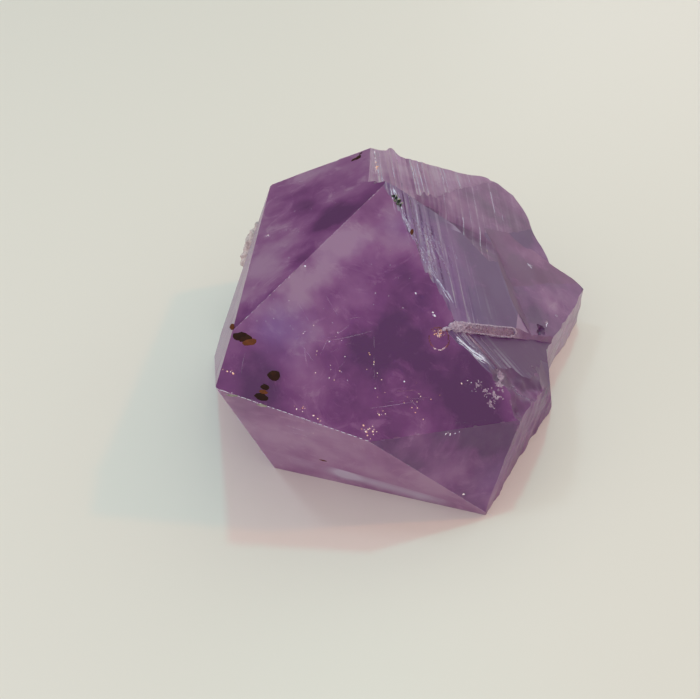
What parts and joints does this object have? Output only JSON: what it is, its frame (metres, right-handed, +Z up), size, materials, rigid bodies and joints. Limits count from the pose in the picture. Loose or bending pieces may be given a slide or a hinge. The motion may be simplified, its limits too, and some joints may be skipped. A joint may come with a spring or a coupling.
{
  "type": "amethyst point",
  "caption": "Loose amethyst crystal point, glassy six-sided tip lying low, rippled fracture on one side, snapped-off back, resting on its broken base.",
  "frame": {"origin": "middle of the bounding box, on the surface that the crystal rests on", "axes": "+Z up; the tip points down and away towards -X and -Y, as a viewer at -Y sees it at the left front; +X towards the spur at the right end; +Y towards the snapped-off back"},
  "size_m": [0.0806, 0.0752, 0.0409],
  "materials": {
    "amethyst": "glassy growth faces, rippled satin fracture",
    "rind": "matt and crumbly",
    "inclusion": "matt flakes of iron oxide inside the crystal",
    "veil": "bright healed cracks and sparkling chips"
  },
  "bodies": {
    "root": {"amethyst_point": "amethyst"}
  },
  "joints": []
}
